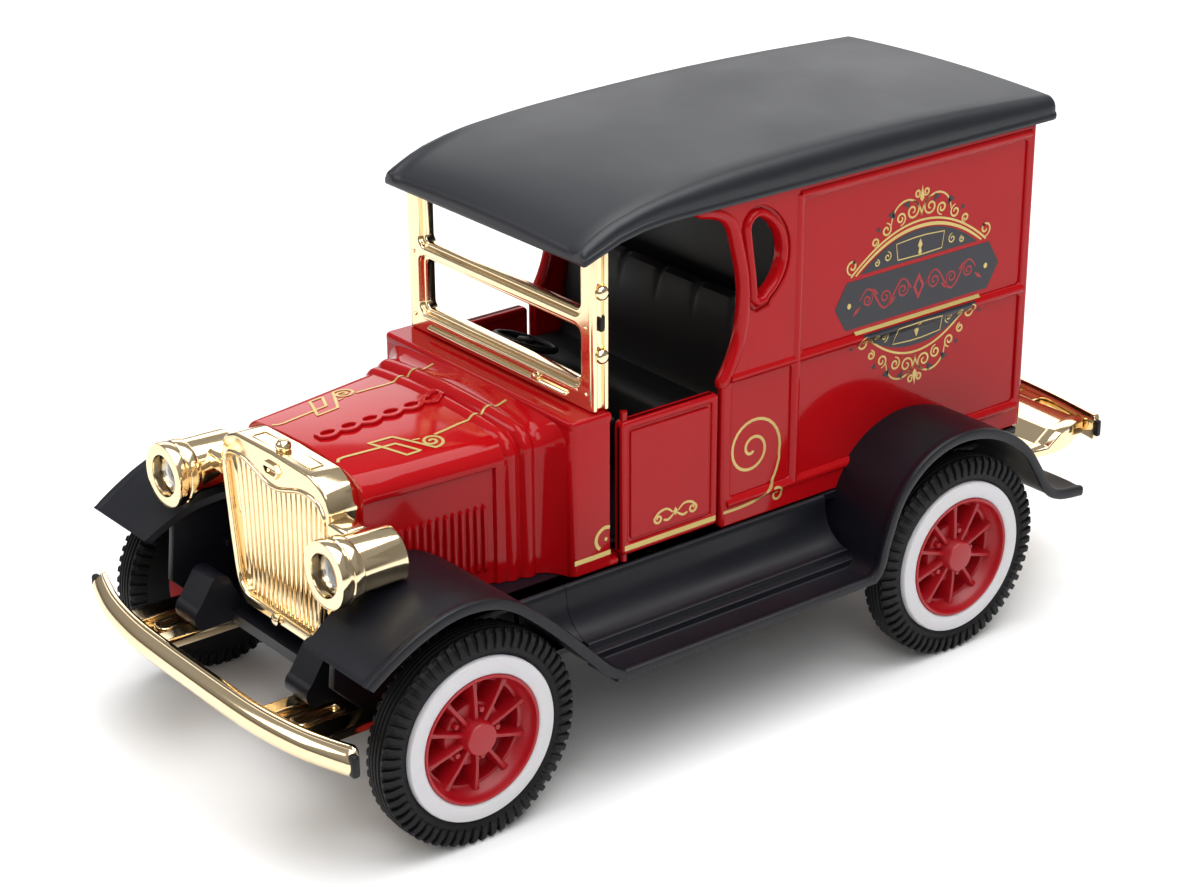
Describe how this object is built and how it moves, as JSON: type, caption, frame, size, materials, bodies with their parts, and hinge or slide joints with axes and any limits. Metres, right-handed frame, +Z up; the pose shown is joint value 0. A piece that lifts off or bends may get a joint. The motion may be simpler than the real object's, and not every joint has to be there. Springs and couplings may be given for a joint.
{
  "type": "friction toy delivery van",
  "caption": "Vintage-style friction toy delivery van: glossy van body, crowned roof, plated grille, lamps and bumpers, hinged doors and spoked whitewall wheels.",
  "frame": {"origin": "on the ground, midway between the front and rear bumpers and between the wheels", "axes": "+X to the van's left, +Y to its rear, +Z up"},
  "size_m": [0.068, 0.148, 0.0777],
  "materials": {
    "body_paint": "gloss",
    "roof_plastic": "satin",
    "wing_plastic": "satin",
    "interior_plastic": "satin",
    "gold_plating": "vacuum metallised",
    "silver_plating": "vacuum metallised",
    "lens_plastic": "clear",
    "tyre_rubber": "moulded",
    "whitewall_plastic": "satin",
    "wheel_plastic": "satin",
    "steel": "turned",
    "gear_plastic": "moulded",
    "motor_case_plastic": "moulded"
  },
  "bodies": {
    "van": {"body_shell": "body_paint", "roof": "roof_plastic", "wing_left": "wing_plastic", "wing_right": "wing_plastic", "chassis": "wing_plastic", "axle_clip": "wing_plastic", "cab_interior": "interior_plastic", "steering_wheel": "interior_plastic", "windshield_frame": "gold_plating", "radiator_shell": "gold_plating", "radiator_grille": "gold_plating", "headlamp_can_left": "gold_plating", "headlamp_can_right": "gold_plating", "headlamp_reflector_left": "silver_plating", "headlamp_reflector_right": "silver_plating", "headlamp_lens_left": "lens_plastic", "headlamp_lens_right": "lens_plastic", "front_bumper": "gold_plating", "rear_step": "gold_plating", "rear_bumper": "gold_plating", "door_hinge_pin_left": "steel", "door_hinge_pin_right": "steel", "reduction_pin": "steel", "case_screws": "steel", "motor_mount_screws": "steel", "body_screws": "steel", "motor_case_left": "motor_case_plastic", "motor_case_right": "motor_case_plastic"},
    "left_door": {"door_left": "body_paint"},
    "right_door": {"door_right": "body_paint"},
    "front_wheelset": {"front_axle": "steel", "front_tyre_left": "tyre_rubber", "front_tyre_right": "tyre_rubber", "front_whitewall_left": "whitewall_plastic", "front_whitewall_right": "whitewall_plastic", "front_wheel_left": "wheel_plastic", "front_wheel_right": "wheel_plastic"},
    "rear_wheelset": {"rear_axle": "steel", "drive_gear": "gear_plastic", "rear_tyre_left": "tyre_rubber", "rear_tyre_right": "tyre_rubber", "rear_whitewall_left": "whitewall_plastic", "rear_whitewall_right": "whitewall_plastic", "rear_wheel_left": "wheel_plastic", "rear_wheel_right": "wheel_plastic"},
    "reduction": {"reduction_gear": "gear_plastic"},
    "flywheel_set": {"flywheel": "steel", "flywheel_pinion": "gear_plastic", "flywheel_shaft": "steel"}
  },
  "joints": [
    {"name": "left_door_hinge", "type": "hinge", "parent": "van", "child": "left_door", "pos_m": [0.0213, -0.0176, 0.0366], "axis": [0, 0, -1], "range_deg": [0, 65]},
    {"name": "right_door_hinge", "type": "hinge", "parent": "van", "child": "right_door", "pos_m": [-0.0213, -0.0176, 0.0366], "axis": [0, 0, 1], "range_deg": [0, 65]},
    {"name": "front_axle_spin", "type": "hinge", "parent": "van", "child": "front_wheelset", "pos_m": [0, -0.0505, 0.015], "axis": [1, 0, 0], "continuous": true},
    {"name": "rear_axle_spin", "type": "hinge", "parent": "van", "child": "rear_wheelset", "pos_m": [0, 0.0346, 0.015], "axis": [1, 0, 0], "continuous": true},
    {"name": "reduction_spin", "type": "hinge", "parent": "van", "child": "reduction", "pos_m": [0, 0.02557, 0.01794], "axis": [1, 0, 0], "continuous": true},
    {"name": "flywheel_spin", "type": "hinge", "parent": "van", "child": "flywheel_set", "pos_m": [0, 0.01616, 0.01661], "axis": [1, 0, 0], "continuous": true}
  ],
  "couplings": [
    {"joint": "reduction_spin", "follows": "rear_axle_spin", "ratio": -2.8},
    {"joint": "flywheel_spin", "follows": "rear_axle_spin", "ratio": 7.84}
  ]
}
